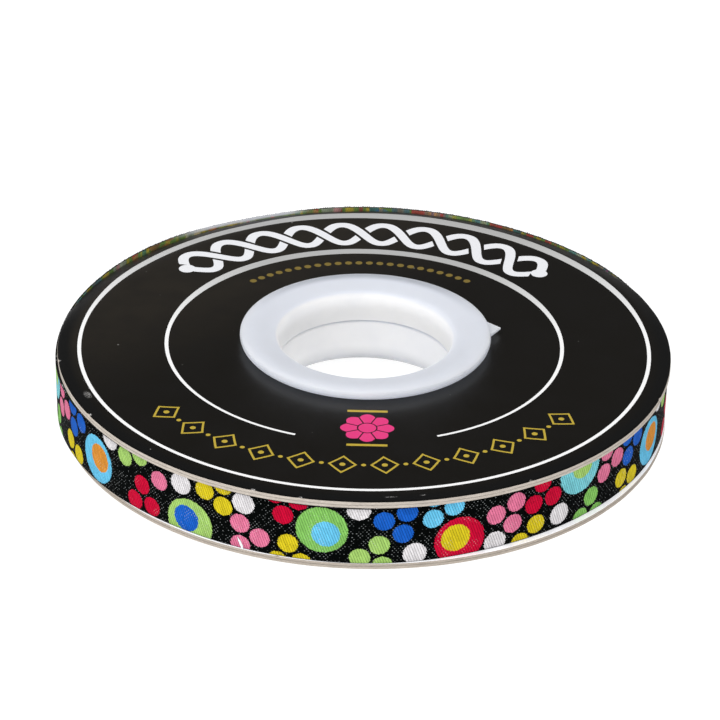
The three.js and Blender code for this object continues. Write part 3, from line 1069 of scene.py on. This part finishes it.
def makeLoopTree(turnLength):
    # the small loops of weft that show along both woven edges
    loops = ribbon["loops"]
    w, given, finish = newGeometryTree("edgeLoops", {"Pitch": loops["pitch"] * mm,
        "Turn length": turnLength, "Width": weave["width"] * mm, "Loop radius": loops["radius"] * mm,
        "Thread": loops["thread"] * mm, "Inset": loops["inset"] * mm, "Seed": loops["seed"],
        "Yarn": loopYarn})

    def turned(shape, angle):
        return w.geometry("Transform", {"Geometry": shape, "Rotation": (angle, 0.0, 0.0)})

    # inputs 4 and 5 of the trim are its start and end lengths
    outer = w.geometry("TrimCurve", {"Curve": given["Geometry"], 4: 0.0, 5: given["Turn length"]},
        mode="LENGTH")
    spaced = w.add("GeometryNodeCurveToPoints", {"Curve": outer, "Length": given["Pitch"]},
        mode="LENGTH")
    points, tangent = w.named(spaced, "Points", "Tangent")
    arc = w.geometry("CurveArc", {"Resolution": 5, "Radius": given["Loop radius"], "Start Angle": 0.0,
        "Sweep Angle": math.pi}, mode="RADIUS")
    thread = w.geometry("CurvePrimitiveCircle", {"Resolution": 4, "Radius": given["Thread"]},
        mode="RADIUS")
    loop = turned(w.geometry("CurveToMesh", {"Curve": arc, "Profile Curve": thread, "Fill Caps": True}),
        math.pi / 2)
    facing = w.read("FunctionNodeAlignRotationToVector", {"Vector": tangent}, axis="X", pivot_axis="Z")
    smallest, largest = loops["size"]
    size = w.read("FunctionNodeRandomValue", {"Seed": given["Seed"], 2: smallest, 3: largest}, 1,
        data_type="FLOAT")
    inward = w.scaled(w.vector("CROSS_PRODUCT", tangent, (0.0, 0.0, -1.0)), given["Inset"])
    both = w.add("GeometryNodeJoinGeometry")
    top = given["Width"] * w.geometry("InputRadius", {})
    for height, shape in ((top, loop), (0.0, turned(loop, math.pi))):
        offset = w.vector("ADD", inward, w.join(0.0, 0.0, height))
        placed = w.geometry("SetPosition", {"Geometry": points, "Offset": offset})
        row = w.geometry("InstanceOnPoints", {"Points": placed, "Instance": shape, "Rotation": facing,
            "Scale": size})
        w.fill(both.inputs, {0: row})
    return finish(Signal(w, both.outputs[0]), given["Yarn"])


def madeFrom(carrier, name, tree, values):
    # the result of a geometry tree as a plain mesh
    modifier = carrier.modifiers.new(tree.name, "NODES")
    modifier.node_group = tree
    for identifier, value in values.items():
        modifier[identifier] = value
    graph = bpy.context.evaluated_depsgraph_get()
    graph.update()
    mesh = bpy.data.meshes.new_from_object(carrier.evaluated_get(graph), depsgraph=graph)
    mesh.name = name
    mesh.shade_smooth()
    carrier.modifiers.remove(modifier)
    return newObject(name, mesh)


def packedAt(azimuth):
    # the tight turns under the drawn ones, as one body
    into = min((azimuth - cutEnd) % 360, 359.9)
    deepest = windingAt(360 * (ribbon["turns"] - 1) + into)[0]
    outer = min(deepest - ribbon["packedGap"] * 2, ribbon["packedOuter"])
    base, top, soft = levels["rollBase"], levels["rollTop"], ribbon["packedRounding"]
    rows = [(ribbon["bore"], base), (ribbon["packedRadii"][-1], base), (outer - soft, base),
            (outer, base + soft)]
    rows += [(outer, top - soft - droopAt(azimuth, outer))]
    rows += [(radius, top - droopAt(azimuth, radius))
             for radius in (outer - soft, *ribbon["packedRadii"], ribbon["bore"])]
    return [(r, z, z) for r, z in rows]


def buildRibbon():
    path, length = makePath()
    outerTurns = madeFrom(path, "ribbon_outer_turns", *makeRibbonTree())
    mesh = outerTurns.data
    mesh.materials.clear()
    for material in (ribbonFace, ribbonReverse, selvedge):
        mesh.materials.append(material)
    solid = outerTurns.modifiers.new("cloth", "SOLIDIFY")
    solid.thickness = ribbon["thickness"] * mm
    solid.offset = -1
    solid.material_offset = 1
    solid.material_offset_rim = 2
    loops = madeFrom(path, "ribbon_edge_loops", *makeLoopTree(length / ribbon["turns"]))
    bpy.data.objects.remove(path)
    packedMesh = ringMesh("ribbon_packed_turns", ribbon["packedColumns"], packedAt)
    packed = placeMesh("ribbon_packed_turns", packedMesh, [packedEdges])
    for piece in (outerTurns, loops, packed):
        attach(piece, "root")
    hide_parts("ribbon_roll")
    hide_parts("ribbon_roll")
    print(f"ribbon: {length / mm:.0f} mm in {ribbon['turns']} turns, {len(mesh.polygons)} faces, "
          f"{len(loops.data.polygons)} loop faces")


buildRibbon()
print("ribbon built")


# a frayed wisp of paper standing at the lower board's edge

fibre = {
    "azimuth": -111.0, "radius": 66.15, "base": 2.55, "height": 2.65, "lean": -1.1, "width": 0.62,
    "thickness": 0.14, "steps": 10, "sides": 6,
    "tones": (tint(214, 224, 226), tint(245, 248, 250)),
}


def buildFibre():
    w = newMaterial("paperWisp")
    streak = w.ramp(w.noise(w.place(), 3.0, 3), 0.3, 0.7)
    paper = w.finish({"Base Color": w.blend(streak, *fibre["tones"]), "Roughness": 0.8})
    foot = polar(fibre["azimuth"], fibre["radius"], fibre["base"])
    sideways = polar(fibre["azimuth"] + 90, 1.0, 0.0)
    outward = polar(fibre["azimuth"], 1.0, 0.0)
    rings = []
    for step in range(fibre["steps"] + 1):
        t = step / fibre["steps"]
        middle = foot + Vector((0, 0, fibre["height"] * t)) + sideways * fibre["lean"] * t ** 1.4
        wide = (fibre["width"] * (0.35 + 0.75 * math.sin(math.pi * (0.15 + 0.8 * t)))
                * (1 - 0.75 * t ** 6))
        half = wide * (1 + 0.35 * noise.noise(Vector((t * 7, 2.0, 5.0)))) * 0.5
        turns = [math.tau * side / fibre["sides"] for side in range(fibre["sides"])]
        deep = fibre["thickness"]
        rings.append([middle + sideways * math.cos(a) * half + outward * math.sin(a) * deep / 2
                      for a in turns])
    wisp = placeMesh("paper_wisp", loftMesh("paper_wisp", rings), [paper], 180)
    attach(wisp, "root")


buildFibre()
print("fibre built")


# floor, light and camera

studio = {
    "fill": 0.80,
    "glossLow": 0.16,
    "glossHigh": 0.05,
    "floorTone": tint(150, 150, 150),
    "floorGlow": 0.85,
    # place in metres, width and power of the soft lamps
    "softTop": ((-0.35, -0.35, 1.1), 0.9, 3.2),
    "softFront": ((-0.36, -0.94, 0.26), 0.7, 3.3),
}

camera = {
    "lens": 142.02,
    "sensor": 36.0,
    "place": (0.0, -543.95, 314.81),
    "looks": (-0.00139, 0.87404, -0.48586),
    "roll": 1.194,
}


def buildFloor():
    bpy.ops.mesh.primitive_plane_add(size=6.0, location=(0, 0, -0.02 * mm))
    floor = bpy.context.object
    floor.name = "pale_floor"
    floor.data.materials.append(newMaterial("paleFloor").finish(
        {"Base Color": studio["floorTone"], "Roughness": 0.9, "Specular IOR Level": 0.1,
         "Emission Color": (1.0, 1.0, 1.0, 1.0), "Emission Strength": studio["floorGlow"]}))


def buildLight():
    # an even room light, faint in gloss, and two soft lamps
    world = bpy.data.worlds.new("paleRoom")
    scene.world = world
    world.use_nodes = True
    w = Wires(world.node_tree)
    up = w.split(w.read("TexCoord", output="Generated"))[2]
    gloss = w.ramp(up, 0.0, 0.8, studio["glossLow"], studio["glossHigh"])
    glossy = w.read("LightPath", output="Is Glossy Ray")
    strength = w.read("Mix", {0: glossy, 2: studio["fill"], 3: gloss}, data_type="FLOAT")
    background = world.node_tree.nodes["Background"].inputs
    w.fill(background, {"Strength": strength, "Color": (1.0, 1.0, 1.0, 1.0)})
    for name in ("softTop", "softFront"):
        place, width, power = studio[name]
        lamp = bpy.data.lights.new(name, "AREA")
        lamp.shape = "DISK"
        lamp.size = width
        lamp.energy = power
        softBox = newObject(name, lamp)
        softBox.location = place
        softBox.rotation_euler = (-softBox.location).to_track_quat("-Z", "Y").to_euler()


def buildCamera():
    lens = bpy.data.cameras.new("photoView")
    lens.lens = camera["lens"]
    lens.sensor_width = camera["sensor"]
    lens.clip_start = 0.01
    forward = Vector(camera["looks"]).normalized()
    level = forward.cross(Vector((0, 0, 1))).normalized()
    upright = level.cross(forward)
    roll = math.radians(camera["roll"])
    right = level * math.cos(roll) + upright * math.sin(roll)
    up = upright * math.cos(roll) - level * math.sin(roll)
    viewer = newObject("photoView", lens)
    turn = Matrix((right, up, -forward)).transposed().to_4x4()
    viewer.matrix_world = Matrix.Translation(Vector(camera["place"]) * mm) @ turn
    scene.camera = viewer


buildFloor()
buildLight()
buildCamera()
scene.view_settings.view_transform = "Standard"
scene.view_settings.look = "None"
print("studio ready")
